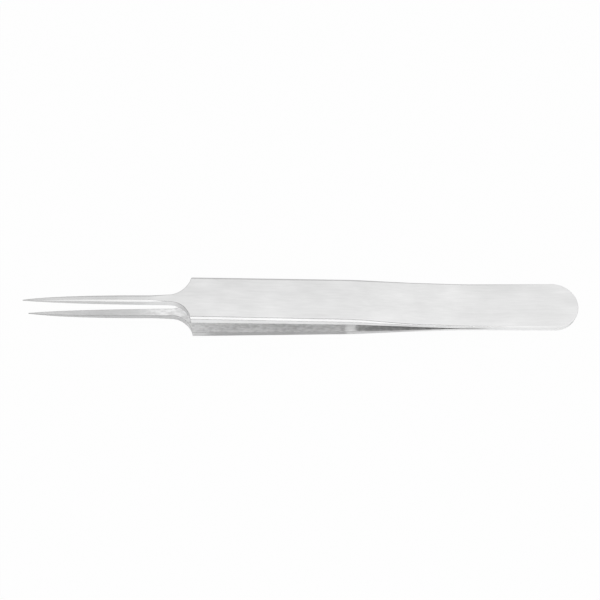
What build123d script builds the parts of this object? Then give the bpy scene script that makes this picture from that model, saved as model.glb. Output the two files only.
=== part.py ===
from build123d import *
from math import atan, cos, radians, sin, sqrt, tan
import os

# Fine-tip tweezers in millimetres, lying on the outer face of the lower arm.
# Each arm is described in its own frame: "along" runs from the tail end to the tip,
# "height" runs away from the plane in which the two arms are welded together.

# Stretches of the arm, one after the other from the tail end to the tip
weld_length = 22.5
spring_length = 11.0
swell_length = 11.5
grip_length = 32.0
needle_length = 33.0

# Body: each arm tapers a little from the tail to the shoulders, and its grip grows thicker
tail_width = 9.65
body_width = 9.15
spring_thickness = 0.8
spring_angle = 4.0
bend_thickness = 1.55
shoulder_thickness = 2.07
grip_angle = 1.16

# Needle
needle_width = 1.5
needle_thickness = 1.6
taper_length = 8.0
tip_width = 0.12
tip_thickness = 0.12

# Curves
parting_radius = 50.0
swell_radius = 25.0
bend_radius = 40.0
shoulder_radius = 4.5
root_blend = 2.0

# Ground bevels on the outer edges
grip_bevel = 0.43
spring_bevel = 0.18
tail_bevel = 0.12
needle_bevel = 0.4
needle_bevel_run = 4.0
tip_bevel = 0.03

# Places along the arm
swell_at = weld_length + spring_length
bend_at = swell_at + swell_length
shoulder_at = bend_at + grip_length
length = shoulder_at + needle_length
taper_at = length - taper_length
half_tail = tail_width / 2
half_body = body_width / 2
half_needle = needle_width / 2
half_tip = tip_width / 2
# Each concave shoulder is an arc that runs out along the needle's edge
shoulder_rise = shoulder_radius - (half_body - half_needle)
root_at = shoulder_at + sqrt(shoulder_radius**2 - shoulder_rise**2)
# The outer face turns at the parting of the arms, at the swell and at the bend
outer_radii = (parting_radius, swell_radius, bend_radius)
# What a cutting profile reaches beyond the metal
spare = 2.0

# Heights above the weld plane
spring_slope = tan(radians(spring_angle))
grip_slope = tan(radians(grip_angle))
thickening = (shoulder_thickness - bend_thickness) / grip_length
outer_slope = grip_slope + thickening
bend_height = (bend_at - weld_length) * spring_slope
swell_top = (swell_at - weld_length) * spring_slope + spring_thickness
side_slope = (half_tail - half_body) / (shoulder_at - half_tail)


def inside(along):
    """Height of the straight inner face, from the bend to the tip."""
    return bend_height + (along - bend_at) * grip_slope


def outside(along):
    """Height of the grip's outer face, and of the same line carried on past it."""
    return inside(along) + bend_thickness + (along - bend_at) * thickening


def needle_top(along):
    """Height of the needle's outer face at its root, and of the same line carried on towards the tip."""
    return inside(along) + needle_thickness


def half_width(along):
    """Half the body's width, from the end of the round tail to the shoulders."""
    return half_tail - (along - half_tail) * side_slope


tip_height = inside(length) + tip_thickness

# The lower arm's grip lies flat on the table, so the weld plane leans by its outer face's slope
lean = atan(outer_slope)
rim_height = spring_thickness - tail_bevel
tail_x = (length * cos(lean) + (tip_height - rim_height) * sin(lean)) / 2
tail_end = Vector(tail_x, 0, outside(0) * cos(lean))
to_the_tip = Vector(-cos(lean), 0, sin(lean))
weld_plane = Plane(origin=tail_end, x_dir=to_the_tip, z_dir=(sin(lean), 0, cos(lean)))
side_plane = Plane(origin=tail_end, x_dir=to_the_tip, z_dir=(0, 1, 0))
# Seen along its own slope a bevel is a line, so its profile is drawn on a plane turned by 45 degrees
tail_centre = tail_end + to_the_tip * half_tail
tail_plane = Plane(origin=tail_centre, x_dir=(0, 1, 0), z_dir=to_the_tip * -1)
bevel_planes = [
    Plane(origin=tail_end, x_dir=to_the_tip, z_dir=side_plane.z_dir - weld_plane.z_dir),
    Plane(origin=tail_end, x_dir=to_the_tip, z_dir=side_plane.z_dir + weld_plane.z_dir),
]


def bevel_line(height, half_width, bevel):
    """Distance of a bevel's face from the arm's axis, for an edge at that height and half width."""
    return (height + half_width - bevel) / sqrt(2)


# Upper arm
with BuildPart() as upper_arm:
    # Side profile: a flat tail, a thin spring that leaves the weld plane, a swell up to the
    # thicker grip, a hollow down to the needle, and a needle whose outer face comes down to the tip
    with BuildSketch(side_plane):
        with BuildLine():
            FilletPolyline(
                (0, 0),
                (weld_length, 0),
                (bend_at, bend_height),
                (length, inside(length)),
                radius=(parting_radius, bend_radius),
            )
            FilletPolyline(
                (0, spring_thickness),
                (weld_length, spring_thickness),
                (swell_at, swell_top),
                (bend_at, outside(bend_at)),
                (shoulder_at, outside(shoulder_at)),
                radius=outer_radii,
            )
            Bezier(
                (shoulder_at, outside(shoulder_at)),
                (shoulder_at + root_blend, outside(shoulder_at + root_blend)),
                (root_at - root_blend, needle_top(root_at - root_blend)),
                (root_at, needle_top(root_at)),
            )
            Bezier((root_at, needle_top(root_at)), (taper_at, needle_top(taper_at)), (length, tip_height))
            Line((0, 0), (0, spring_thickness))
            Line((length, inside(length)), (length, tip_height))
        make_face()
    extrude(amount=half_tail + spare, both=True)

    # Plan outline: a round tail, nearly parallel sides, two concave shoulders and a tapered needle
    with BuildSketch(weld_plane):
        with BuildLine():
            ThreePointArc((half_tail, half_tail), (0, 0), (half_tail, -half_tail))
            Line((half_tail, half_tail), (shoulder_at, half_body))
            Line((half_tail, -half_tail), (shoulder_at, -half_body))
            RadiusArc((shoulder_at, half_body), (root_at, half_needle), -shoulder_radius)
            RadiusArc((shoulder_at, -half_body), (root_at, -half_needle), shoulder_radius)
            Bezier((root_at, half_needle), (taper_at, half_needle), (length, half_tip))
            Bezier((root_at, -half_needle), (taper_at, -half_needle), (length, -half_tip))
            Line((length, half_tip), (length, -half_tip))
        make_face()
    extrude(amount=outside(length) + spare, mode=Mode.INTERSECT)

    # Tail bevel: a narrow half cone round the tail's end
    with BuildSketch(tail_plane):
        with BuildLine():
            Polyline(
                (half_tail - tail_bevel, spring_thickness),
                (half_tail, rim_height),
                (half_tail + spare, rim_height),
                (half_tail + spare, spring_thickness + spare),
                (half_tail - tail_bevel, spring_thickness + spare),
                close=True,
            )
        make_face()
    revolve(axis=Axis(tail_centre, weld_plane.z_dir * -1), revolution_arc=180, mode=Mode.SUBTRACT)

    for bevel_plane in bevel_planes:
        # Body bevel: narrow along the spring, full width along the grip, and out into the hollow
        # shoulder. It turns where the outer face turns, and seen at 45 degrees the curves are flatter
        top = bevel_line(outside(length), half_tail, -spare)
        with BuildSketch(bevel_plane):
            with BuildLine():
                FilletPolyline(
                    (half_tail, bevel_line(spring_thickness, half_tail, tail_bevel)),
                    (weld_length, bevel_line(spring_thickness, half_width(weld_length), spring_bevel)),
                    (swell_at, bevel_line(swell_top, half_width(swell_at), spring_bevel)),
                    (bend_at, bevel_line(outside(bend_at), half_width(bend_at), grip_bevel)),
                    (root_at, bevel_line(outside(root_at), half_width(root_at), grip_bevel)),
                    radius=[radius * sqrt(2) for radius in outer_radii],
                )
                Polyline(
                    (root_at, bevel_line(outside(root_at), half_width(root_at), grip_bevel)),
                    (root_at, top),
                    (half_tail, top),
                    (half_tail, bevel_line(spring_thickness, half_tail, tail_bevel)),
                )
            make_face()
        extrude(amount=tail_width, both=True, mode=Mode.SUBTRACT)

        # Needle bevel: it starts as a point at the root and narrows with the needle
        with BuildSketch(bevel_plane):
            with BuildLine():
                Bezier(
                    (root_at, bevel_line(needle_top(root_at), half_needle, needle_bevel)),
                    (taper_at, bevel_line(needle_top(taper_at), half_needle, needle_bevel)),
                    (length, bevel_line(tip_height, half_tip, tip_bevel)),
                )
                Polyline(
                    (length, bevel_line(tip_height, half_tip, tip_bevel)),
                    (length, top),
                    (root_at, top),
                    (root_at, bevel_line(needle_top(root_at), half_needle, needle_bevel)),
                )
            make_face()
            with BuildLine():
                ramp_start = Vector(root_at, bevel_line(needle_top(root_at), half_needle, 0))
                ramp_fall = Vector(needle_bevel_run, -needle_bevel / sqrt(2))
                Polyline(
                    ramp_start,
                    ramp_start + ramp_fall * (needle_length / needle_bevel_run),
                    (length, top),
                    (root_at, top),
                    close=True,
                )
            make_face(mode=Mode.INTERSECT)
        extrude(amount=tail_width, both=True, mode=Mode.SUBTRACT)

# Lower arm: the same arm on the other side of the weld plane
with BuildPart() as lower_arm:
    mirror(upper_arm.part, about=weld_plane)

os.makedirs("parts", exist_ok=True)
upper_arm.part.label = "upper_arm"
lower_arm.part.label = "lower_arm"
export_step(upper_arm.part, "parts/upper_arm.step")
export_step(lower_arm.part, "parts/lower_arm.step")
for arm in (upper_arm.part, lower_arm.part):
    box = arm.bounding_box()
    print(arm.label, "volume", round(arm.volume, 2), "from", box.min, "to", box.max, "centre", arm.center())
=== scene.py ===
# %% [markdown]
# # Fine-tip tweezers, dressed for a studio photograph
#
# The real object is two ground stainless arms, welded together face to face at the round tail.
# They lie on the flat grip of the lower arm, seen from above and a little from one side.
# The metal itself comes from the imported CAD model, which this lesson never reshapes.
# What is added here is how the metal looks: which faces are satin, which are polished,
# which way the grinding ran, and the light and the camera that show it.

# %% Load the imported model
from math import cos, pi, radians, sin

import bpy
from mathutils import Matrix, Vector


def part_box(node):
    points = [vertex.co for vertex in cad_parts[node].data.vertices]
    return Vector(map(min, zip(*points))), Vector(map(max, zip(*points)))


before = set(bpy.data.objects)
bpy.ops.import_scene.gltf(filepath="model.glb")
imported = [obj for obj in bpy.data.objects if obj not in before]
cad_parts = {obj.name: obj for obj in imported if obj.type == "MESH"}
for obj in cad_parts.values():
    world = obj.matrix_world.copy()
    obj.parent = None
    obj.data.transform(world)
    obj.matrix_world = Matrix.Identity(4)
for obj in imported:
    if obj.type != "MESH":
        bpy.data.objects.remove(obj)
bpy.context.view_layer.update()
upper_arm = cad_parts["upper_arm"]
lower_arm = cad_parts["lower_arm"]

# %% [markdown]
# ## Where things are on the arms
#
# The arms meet in one plane, the weld plane. It leans a little, because the lower arm's grip
# lies flat on the table and the arms spread from the tail on.
# Everything that the finish needs to know, such as "is this the outer face?", can be asked
# in terms of the distance from that plane and of the way that a face looks away from it.
# So its lean is repeated here from the CAD source.

# %% Measure the weld plane
mm = 0.001
lean = radians(2.09)
upper_low, upper_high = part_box("upper_arm")
weld_point = Vector((upper_high.x, 0.0, upper_low.z))
away_from_weld = Vector((sin(lean), 0.0, cos(lean)))
to_tips = Vector((-cos(lean), 0.0, sin(lean)))
arm_length = (weld_point.x - upper_low.x) / cos(lean)
print("Weld plane at the tail, in mm:", [round(c / mm, 3) for c in weld_point])
print("Arm length in mm:", round(arm_length / mm, 2))

# %% [markdown]
# ## A small helper for node trees
#
# A material is a tree of nodes, and a node group is a tree that several materials share.
# Both are built from the same two moves: add a node with some values, and link a socket to it.
# Wrapping the two in one function keeps each finish below short enough to read.


# %% Helper that adds a node
def add_node(tree, kind, settings=None, **sockets):
    """Add a node with its options and its inputs: each a value, or another node's output."""
    node = tree.nodes.new(kind)
    for option, value in (settings or {}).items():
        setattr(node, option, value)
    for name, value in sockets.items():
        place = int(name[1:]) if name[0] == "i" and name[1:].isdigit() else name.replace("_", " ")
        socket = node.inputs[place]
        if isinstance(value, bpy.types.NodeSocket):
            tree.links.new(value, socket)
        else:
            socket.default_value = value
    return node


def maths(tree, operation, first, second=0.0, clamp=False):
    """One sum with two numbers, and its result."""
    settings = {"operation": operation, "use_clamp": clamp}
    return add_node(tree, "ShaderNodeMath", settings, i0=first, i1=second).outputs[0]


def vectors(tree, operation, first, second):
    """One sum with two vectors, and its node."""
    return add_node(tree, "ShaderNodeVectorMath", {"operation": operation}, i0=first, i1=second)


def share_along(tree, vector, direction):
    """How far a vector reaches in a direction."""
    return vectors(tree, "DOT_PRODUCT", vector, direction).outputs["Value"]


def fade(tree, value, start, end):
    """0 before start, 1 after end, and a smooth slope between them."""
    node = add_node(
        tree, "ShaderNodeMapRange", {"interpolation_type": "SMOOTHSTEP"},
        Value=value, From_Min=start, From_Max=end,
    )
    return node.outputs["Result"]


print("Node helpers ready")

# %% [markdown]
# A node group has its own sockets, which Blender 4.5 makes through the group's interface.
# Each group below needs the same start and the same end, so two more helpers do that.


# %% Helpers that start and end a group
def start_group(name, outputs, **inputs):
    """A new shader node group with named sockets, and its two end nodes."""
    group = bpy.data.node_groups.new(name, "ShaderNodeTree")
    for socket_name, value in inputs.items():
        socket = group.interface.new_socket(
            socket_name.replace("_", " "), in_out="INPUT", socket_type="NodeSocketFloat",
        )
        socket.default_value = value
    for socket_name in outputs:
        kind = "NodeSocketVector" if socket_name == "Normal" else "NodeSocketFloat"
        group.interface.new_socket(socket_name, in_out="OUTPUT", socket_type=kind)
    return group, group.nodes.new("NodeGroupInput").outputs, group.nodes.new("NodeGroupOutput")


def send_out(group, group_end, **values):
    """Link values to the group's output sockets of the same names."""
    for name, value in values.items():
        group.links.new(value, group_end.inputs[name])
    print(group.name, "puts out", list(values))


print("Group helpers ready")

# %% [markdown]
# ## Which face is which
#
# On the real arms each face has its own finish. The flat outer faces are satin, the bevels
# that run along them are ground bright, the narrow sides and the inner faces are left as the
# grinding wheel left them. Painting this by hand would need a texture map. Instead this group
# reads the surface's own direction and place: a face that looks straight away from the weld
# plane is an outer face, one at 45 degrees is a bevel, one at 90 degrees is a side. The cosine
# of that angle is near 1, about 0.7 and near 0 there, and near -1 on an inner face.
#
# It also tells which arm a point is on, how far it is from the tail, how far across the arm
# it lies, and whether it is on the hairline where the sides of the two arms begin to part,
# which the steel darkens with a painted shadow.

# %% Group that tells the faces apart
facings, _, facings_end = start_group(
    "arm_faces", ["Bevel", "Side", "Inner", "Lower", "Along", "Across", "Parting"],
)
place = add_node(facings, "ShaderNodeTexCoord")
from_tail = vectors(facings, "SUBTRACT", place.outputs["Object"], weld_point).outputs[0]
height = share_along(facings, from_tail, away_from_weld)
along = share_along(facings, from_tail, to_tips)
turned = share_along(facings, place.outputs["Normal"], away_from_weld)
facing = maths(facings, "MULTIPLY", turned, maths(facings, "SIGN", height))
outer = fade(facings, facing, 0.86, 0.93)
upright = fade(facings, facing, 0.45, 0.55)
bevel = maths(facings, "SUBTRACT", upright, outer, clamp=True)
inner = fade(facings, facing, -0.45, -0.55)
side = maths(facings, "SUBTRACT", maths(facings, "SUBTRACT", 1.0, upright), inner, clamp=True)

# The hairline where the arms part, which gets a painted shadow in the steel.
near_weld = fade(facings, maths(facings, "ABSOLUTE", height), 0.24 * mm, 0.10 * mm)
parting = maths(facings, "MULTIPLY", near_weld, side)
parting = maths(facings, "MULTIPLY", parting, fade(facings, along, 17.5 * mm, 21 * mm))
position = add_node(facings, "ShaderNodeSeparateXYZ", None, Vector=place.outputs["Object"])
send_out(
    facings, facings_end, Bevel=bevel, Side=side, Inner=inner,
    Lower=maths(facings, "LESS_THAN", height, 0.0),
    Along=along, Across=position.outputs["Y"], Parting=parting,
)

# %% [markdown]
# ## Brushed grain
#
# Satin steel is brushed with fine abrasive along the arm, which leaves thousands of scratches,
# each a few millimetres long and a few hundredths wide. A noise texture becomes such scratches
# when space is squeezed along the arm and stretched across it before the noise is looked up.
# Two sizes are mixed, because a real brush leaves a few broad lines among the fine ones.

# %% Group for the brushed grain
grain, grain_in, grain_end = start_group(
    "brushed_grain", ["Fine", "Broad"], Lines_per_mm=9.0, Line_length_in_mm=6.0,
)
place = add_node(grain, "ShaderNodeTexCoord")
in_mm = add_node(
    grain, "ShaderNodeVectorMath", {"operation": "SCALE"}, i0=place.outputs["Object"], Scale=1 / mm,
).outputs[0]
lengthwise = maths(grain, "DIVIDE", 1.0, grain_in["Line length in mm"])
scratch_sizes = {}
for name, share_of_lines, seed in (("Fine", 1.0, 3.0), ("Broad", 0.28, 11.0)):
    crosswise = maths(grain, "MULTIPLY", grain_in["Lines per mm"], share_of_lines)
    squeeze = add_node(grain, "ShaderNodeCombineXYZ", None, X=lengthwise, Y=crosswise, Z=crosswise)
    scratch_sizes[name] = add_node(
        grain, "ShaderNodeTexNoise", {"noise_dimensions": "4D"},
        Vector=vectors(grain, "MULTIPLY", in_mm, squeeze.outputs[0]).outputs[0],
        W=seed, Scale=1.0, Detail=3.0, Roughness=0.6,
    ).outputs["Fac"]
send_out(grain, grain_end, **scratch_sizes)

# %% [markdown]
# ## Satin mottle and painted edge lines
#
# Brushing by hand is never quite even, so the satin has soft cloudy patches a few millimetres
# across, longer along the arm than across it. Where two ground faces meet, the edge is broken
# very slightly, and a rounded edge mirrors some of the darker room. That thin dark line is a
# painted reflection in the steel's colour. The Bevel node finds the edges: it gives the
# direction the surface would have if its edges were rounded, and wherever that differs from the
# true direction there is an edge close by.

# %% Group for the mottle and the edges
wear, wear_in, wear_end = start_group(
    "mottle_and_edges", ["Mottle", "Edge", "Normal"], Patch_in_mm=4.0, Edge_in_mm=0.08,
)
patch_stretch = (0.45 / mm, 1 / mm, 1 / mm)
place = add_node(wear, "ShaderNodeTexCoord")
patches = add_node(
    wear, "ShaderNodeTexNoise", {"noise_dimensions": "3D"},
    Vector=vectors(wear, "MULTIPLY", place.outputs["Object"], patch_stretch).outputs[0],
    Scale=maths(wear, "DIVIDE", 1.0, wear_in["Patch in mm"]), Detail=3.0, Roughness=0.55,
)
# The Edge mask marks where the steel gets its painted dark edge lines.
edge_radius = maths(wear, "MULTIPLY", wear_in["Edge in mm"], mm)
rounded = add_node(wear, "ShaderNodeBevel", {"samples": 6}, Radius=edge_radius).outputs[0]
true_way = add_node(wear, "ShaderNodeNewGeometry").outputs["Normal"]
sameness = share_along(wear, rounded, true_way)
send_out(
    wear, wear_end, Mottle=patches.outputs["Fac"], Edge=fade(wear, sameness, 0.9995, 0.98),
    Normal=rounded,
)

# %% [markdown]
# ## The steel
#
# All of it is one stainless steel, so it is one material. Its colour is the share of light
# that the metal sends back, a pale and neutral grey. Its roughness is what tells satin from
# polish. Both are steered by the masks above: the outer face is satin, the bevel is bright,
# the inner face is duller and specked, because it was ground and never polished.
#
# A mask is 0 where a finish is absent and 1 where it is present, so a finish is laid over the
# ones before it by mixing two numbers with the mask. The groups are placed here with the
# sizes that fit this steel.


# %% Helpers that place a group and mix by a mask
def place_group(tree, group, **values):
    """Place a group in a material with its own values, and give its outputs."""
    node = tree.nodes.new("ShaderNodeGroup")
    node.node_tree = group
    for name, value in values.items():
        node.inputs[name.replace("_", " ")].default_value = value
    return node.outputs


def by_mask(tree, mask, without, inside):
    """A number that is 'without' where the mask is 0 and 'inside' where it is 1."""
    mix = add_node(tree, "ShaderNodeMix", {"data_type": "FLOAT"}, i0=mask, i2=without, i3=inside)
    return mix.outputs[0]


def around_zero(tree, noise, strength):
    """A noise value moved to lie around 0, times a strength."""
    return maths(tree, "MULTIPLY", maths(tree, "SUBTRACT", noise, 0.5), strength)


# %% Steel material
steel = bpy.data.materials.new("brushed_steel")
steel.use_nodes = True
tree = steel.node_tree
surface = tree.nodes["Principled BSDF"]
surface.inputs["Metallic"].default_value = 1.0
faces = place_group(tree, facings)
lines = place_group(tree, grain, Lines_per_mm=9.0, Line_length_in_mm=6.0)
cloud = place_group(tree, wear, Patch_in_mm=4.0, Edge_in_mm=0.14)
specks = place_group(tree, wear, Patch_in_mm=0.45)
print("Groups in the steel:", [node.node_tree.name for node in tree.nodes if node.type == "GROUP"])

# %% [markdown]
# ## Stretches of the arm
#
# The distance along the arm steers the colour too. The needles are darker than the grips.
# The rest is painted light and shade. Painted shade darkens the inner faces of the bent
# springs, where the arms close in, and makes the lower arm's sides, which lie by the floor,
# darker than the upper arm's. A painted highlight crosses the inner face where the spring bends
# into the grip, and a painted shadow makes a dark hairline where the two arms begin to part.
# The painted dark edge lines are strongest on the upper arm's near side and nearly vanish
# round the tail. Most of these are masks between two distances from the tail's end, which
# follow the shape of the arm, so the finish stays on the metal from every side. In each mix
# below, the first shade is the one without the mask, the second the one in it.

# %% Masks along the arm
stretches = {
    "past_tail": (10, 22),
    "on_grip": (44.4, 46.4),
    "past_shoulder": (76.5, 77.5),
    "before_needle": (80, 79),
    "on_needle": (83, 89),
}
stretch = {}
for name, (start, end) in stretches.items():
    stretch[name] = fade(tree, faces["Along"], start * mm, end * mm)
# A band across the inner face at the bend, which gets a painted highlight.
bend = 45.4 * mm
from_bend = maths(tree, "ABSOLUTE", maths(tree, "SUBTRACT", faces["Along"], bend))
bend_highlight_band = fade(tree, from_bend, 1.5 * mm, 0.3 * mm)
grip_only = maths(tree, "SUBTRACT", stretch["on_grip"], stretch["past_shoulder"])
# The lower arm's sides on the grip, outside the bend band, which get painted shade.
shaded_lower_side = maths(
    tree, "MULTIPLY", faces["Lower"], maths(tree, "SUBTRACT", grip_only, bend_highlight_band, clamp=True),
)
# Where the painted dark edge lines are darkest: the upper arm's near side, before the needle.
near_side = fade(tree, faces["Across"], -0.8 * mm, -1.0 * mm)
near_side = maths(tree, "MULTIPLY", near_side, stretch["before_needle"])
near_side = maths(tree, "SUBTRACT", near_side, faces["Lower"], clamp=True)
print("Stretches in mm from the tail's end:", stretches)

# %% Shade of each face
parting_shadow = 0.22
on_needle = stretch["on_needle"]
outer_shade = by_mask(tree, on_needle, 0.76, 0.66)
bevel_shade = by_mask(tree, on_needle, 0.79, 0.73)
# Painted shade: the inner faces from the tail to the bend, where the arms close in, are darker than
# on the grips.
inner_shade = by_mask(tree, on_needle, by_mask(tree, stretch["on_grip"], 0.68, 0.88), 0.66)
# Painted highlight across the inner face at the bend.
inner_shade = by_mask(tree, bend_highlight_band, inner_shade, 1.0)
side_shade = by_mask(tree, stretch["past_shoulder"], 0.86, 0.84)
# Painted shade on the lower arm's sides, which lie by the floor.
side_shade = by_mask(tree, shaded_lower_side, side_shade, 0.60)
# Painted dark edge lines, a painted reflection of the darker room in rounded edges; faint round the
# tail.
edge_shade = by_mask(tree, near_side, 0.40, 0.12)
edge_shade = by_mask(tree, stretch["past_tail"], 0.90, edge_shade)
shade = by_mask(tree, faces["Inner"], outer_shade, inner_shade)
shade = by_mask(tree, faces["Bevel"], shade, bevel_shade)
shade = by_mask(tree, faces["Side"], shade, side_shade)
shade = by_mask(tree, cloud["Edge"], shade, edge_shade)
# Painted shadow in the hairline where the arms begin to part.
shade = by_mask(tree, faces["Parting"], shade, parting_shadow)
print("Shade of the hairline where the arms part:", parting_shadow)

# %% [markdown]
# Small changes are added to those shades: soft mottle, the broad lines of the grain, specks
# on the ground inner faces, and a gentle painted shade, darker from the near side, where the
# front lamps stand, to the far side.

# %% Small changes of shade
half_width = 4.6 * mm
far_side_change = -0.02
mottle_strength = 0.20
speck_strength = by_mask(tree, on_needle, 0.70, 0.10)
speck_strength = by_mask(tree, faces["Inner"], 0.0, speck_strength)
line_strength = by_mask(tree, faces["Inner"], 0.14, 0.22)
# Painted shade: a little darker towards the far side, away from the front lamps.
towards_far_side = maths(tree, "DIVIDE", faces["Across"], half_width)
towards_far_side = maths(tree, "MULTIPLY", towards_far_side, far_side_change)
mottled = around_zero(tree, cloud["Mottle"], mottle_strength)
lined = around_zero(tree, lines["Broad"], line_strength)
specked = around_zero(tree, specks["Mottle"], speck_strength)
shade = maths(tree, "ADD", maths(tree, "ADD", shade, specked), towards_far_side)
shade = maths(tree, "ADD", shade, maths(tree, "ADD", mottled, lined), clamp=True)
tint = add_node(tree, "ShaderNodeCombineColor", None, Red=shade, Green=shade, Blue=shade)
tree.links.new(tint.outputs[0], surface.inputs["Base Color"])
print("Mottle:", mottle_strength, "and change to the far side:", far_side_change)

# %% [markdown]
# The satin outer face spreads its reflections, the bevels and sides are smoother, and the
# inner faces are the roughest. The fine scratches are a bump of a few thousandths of a
# millimetre, and the rounded direction from the Bevel node makes the edges catch the light.

# %% Roughness and scratches
roughness = by_mask(tree, faces["Inner"], 0.34, by_mask(tree, bend_highlight_band, 0.55, 0.95))
roughness = by_mask(tree, faces["Bevel"], roughness, 0.18)
roughness = by_mask(tree, faces["Side"], roughness, 0.30)
roughness = maths(tree, "ADD", roughness, around_zero(tree, lines["Broad"], 0.25), clamp=True)
tree.links.new(roughness, surface.inputs["Roughness"])

scratches = add_node(
    tree, "ShaderNodeBump", None,
    Strength=0.35, Distance=0.004 * mm, Height=lines["Fine"], Normal=cloud["Normal"],
)
tree.links.new(scratches.outputs[0], surface.inputs["Normal"])
for arm in (upper_arm, lower_arm):
    arm.material_slots[0].material = steel
    print(arm.name, "wears", arm.material_slots[0].material.name)

# %% [markdown]
# ## Floor and backdrop
#
# The photograph's ground is plain white. A floor that is only pale would come out grey in its
# own shade, and turning the lamps up would burn out the steel. So the floor is a pale matt
# surface, mixed with a plain white glow for the camera, and a trace of the shadow stays.
# The steel mirrors that glow too, but only the part of it that lies in front of the
# tweezers: their near side looks bright, and the space between the arms stays dark. Beside
# the tail and the shoulders the mirrored glow begins closer to the metal.

# %% Floor
reach = 1.5
corners = [(-reach, -reach, 0), (reach, -reach, 0), (reach, reach, 0), (-reach, reach, 0)]
floor_mesh = bpy.data.meshes.new("floor")
floor_mesh.from_pydata(corners, [], [(0, 1, 2, 3)])
floor = bpy.data.objects.new("floor", floor_mesh)
bpy.context.scene.collection.objects.link(floor)
print("Floor side in m:", 2 * reach)

# %% Where steel mirrors the floor's glow
pale = bpy.data.materials.new("pale_floor")
pale.use_nodes = True
tree = pale.node_tree
matt = tree.nodes["Principled BSDF"]
matt.inputs["Base Color"].default_value = (0.9, 0.9, 0.9, 1)
matt.inputs["Roughness"].default_value = 0.9
matt.inputs["Specular IOR Level"].default_value = 0.0
place = add_node(tree, "ShaderNodeTexCoord")
glow_starts, glow_full, closer = 5.2 * mm, 7.4 * mm, 2.6 * mm
spot = add_node(tree, "ShaderNodeSeparateXYZ", None, Vector=place.outputs["Object"]).outputs
at_tail = fade(tree, spot["X"], 18 * mm, 34 * mm)
past_grip = fade(tree, spot["X"], -17 * mm, -22 * mm)
before_needles = fade(tree, spot["X"], -36 * mm, -29 * mm)
at_shoulders = maths(tree, "MULTIPLY", past_grip, before_needles)
closer_by = maths(tree, "MULTIPLY", maths(tree, "ADD", at_tail, at_shoulders), closer)
in_front = fade(tree, maths(tree, "SUBTRACT", spot["Y"], closer_by), -glow_starts, -glow_full)
print("Mirrored glow in front of the tweezers, full from mm:", round(glow_full / mm, 1))

# %% Floor's glow
glow = add_node(tree, "ShaderNodeEmission", None, Strength=1.0)
seen_by = add_node(tree, "ShaderNodeLightPath").outputs
glow_for_camera, glow_for_mirror = 0.97, 0.85
camera_share = maths(tree, "MULTIPLY", seen_by["Is Camera Ray"], glow_for_camera)
mirror_share = maths(tree, "MULTIPLY", seen_by["Is Glossy Ray"], glow_for_mirror)
mirror_share = maths(tree, "MULTIPLY", mirror_share, in_front)
blend = add_node(
    tree, "ShaderNodeMixShader", None,
    Fac=maths(tree, "MAXIMUM", camera_share, mirror_share), i1=matt.outputs[0], i2=glow.outputs[0],
)
tree.links.new(blend.outputs[0], tree.nodes["Material Output"].inputs["Surface"])
floor_mesh.materials.append(pale)
print(floor.name, "wears", pale.name)

# %% [markdown]
# ## World
#
# The world behind the floor is plain white for the camera, in mirror images and through clear
# things. Matt surfaces get only about half of it, because the lamps light them as well.

# %% World
world = bpy.data.worlds.new("white_studio")
bpy.context.scene.world = world
world.use_nodes = True
tree = world.node_tree
background = tree.nodes["Background"]
background.inputs["Color"].default_value = (1, 1, 1, 1)
seen_by = add_node(tree, "ShaderNodeLightPath").outputs
plain = maths(tree, "MAXIMUM", seen_by["Is Camera Ray"], seen_by["Is Glossy Ray"])
plain = maths(tree, "MAXIMUM", plain, seen_by["Is Transmission Ray"])
matt_strength = 0.55
tree.links.new(by_mask(tree, plain, matt_strength, 1.0), background.inputs["Strength"])
print("World strength for matt surfaces:", matt_strength)

# %% [markdown]
# ## Lamps
#
# Metal shows what stands around it. The bevel on the near side looks low towards the front,
# and in the photograph it is the brightest line on the tweezers, so a wide soft lamp stands
# there. A second one hangs above and behind, towards the tail. The key lamp above the near
# side lights the matt floor, which the steel mirrors. Its own mirror image is turned off,
# because it would burn out the outer face.


# %% Softboxes
def softbox(name, direction, distance, size, brightness):
    """A square lamp that faces the tweezers. Brightness 1 is as bright as white paper."""
    lamp = bpy.data.lights.new(name, "AREA")
    lamp.shape = "SQUARE"
    lamp.size = size
    lamp.energy = brightness * pi * size**2
    holder = bpy.data.objects.new(name, lamp)
    holder.location = Vector(direction).normalized() * distance
    holder.rotation_euler = Vector(direction).to_track_quat("Z", "Y").to_euler()
    bpy.context.scene.collection.objects.link(holder)
    print(name, "energy in W:", round(lamp.energy, 3))
    return holder


softbox("front_softbox", (0.0, -0.90, 0.44), 0.7, 0.50, 0.20)
softbox("tail_softbox", (0.55, 0.30, 0.80), 0.8, 0.50, 0.10)
key = softbox("key_softbox", (0.0, -0.50, 0.87), 0.8, 0.60, 1.2)
key.visible_glossy = False
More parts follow.
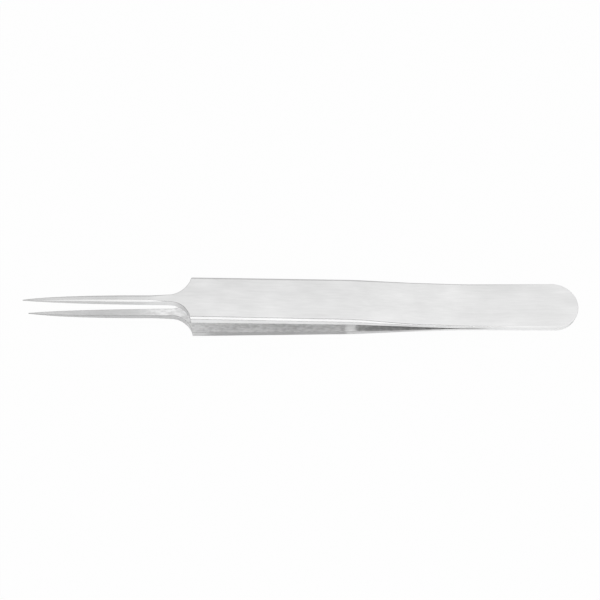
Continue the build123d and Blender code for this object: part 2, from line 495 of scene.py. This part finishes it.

# %% [markdown]
# ## Camera
#
# The photograph looks down on the upper arm, tipped 26 degrees towards the near side.
# Its place follows from the picture: the tips, shoulders and tail land on their own pixels.
# The image is 600 pixels square, so the projection is worked out for that size,
# and a few corners of the tweezers are printed in pixels as a check.

# %% Camera
image_side = 600
tilt = radians(26.4)
swing = -0.02
roll = radians(0.037)
distance = 230 * mm
pixels_per_mm = 5.017
target = weld_point + to_tips * 55 * mm
target_pixel = (302.93, 307.02)
towards_camera = away_from_weld * cos(tilt) - Vector((0, sin(tilt), 0)) - to_tips * swing
towards_camera.normalize()

camera_data = bpy.data.cameras.new("camera")
camera_data.sensor_width = 36.0
camera_data.lens = camera_data.sensor_width * pixels_per_mm * (distance / mm) / image_side
camera_data.shift_x = (image_side / 2 - target_pixel[0]) / image_side
camera_data.shift_y = (target_pixel[1] - image_side / 2) / image_side
camera_data.clip_start = 0.01
camera = bpy.data.objects.new("camera", camera_data)
picture_up = towards_camera.cross(-to_tips).normalized()
picture_right = picture_up.cross(towards_camera)
turn = Matrix((picture_right, picture_up, towards_camera)).transposed().to_4x4()
standpoint = Matrix.Translation(target + towards_camera * distance)
camera.matrix_world = standpoint @ turn @ Matrix.Rotation(roll, 4, "Z")
bpy.context.scene.collection.objects.link(camera)
bpy.context.scene.camera = camera


def pixel_of(point):
    """Where a point of the scene lands in the 600-pixel image."""
    local = camera.matrix_world.inverted() @ Vector(point)
    scale = camera_data.lens / camera_data.sensor_width * image_side / -local.z
    x = image_side / 2 + local.x * scale - camera_data.shift_x * image_side
    y = image_side / 2 - local.y * scale + camera_data.shift_y * image_side
    return round(x, 1), round(y, 1)


lower_low, lower_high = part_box("lower_arm")
bpy.context.view_layer.update()
shift = (round(camera_data.shift_x, 4), round(camera_data.shift_y, 4))
print("lens in mm:", round(camera_data.lens, 2), "shift:", shift)
print("upper tip:", pixel_of((upper_low.x, 0, upper_high.z)))
print("lower tip:", pixel_of((lower_low.x, 0, lower_high.z)))
print("tail end:", pixel_of((upper_high.x, 0, upper_low.z)))

# %% [markdown]
# ## Picture settings
#
# The Standard view shows a colour as it is written, without the film look that Blender
# starts with.

# %% Finish
bpy.context.scene.view_settings.view_transform = "Standard"
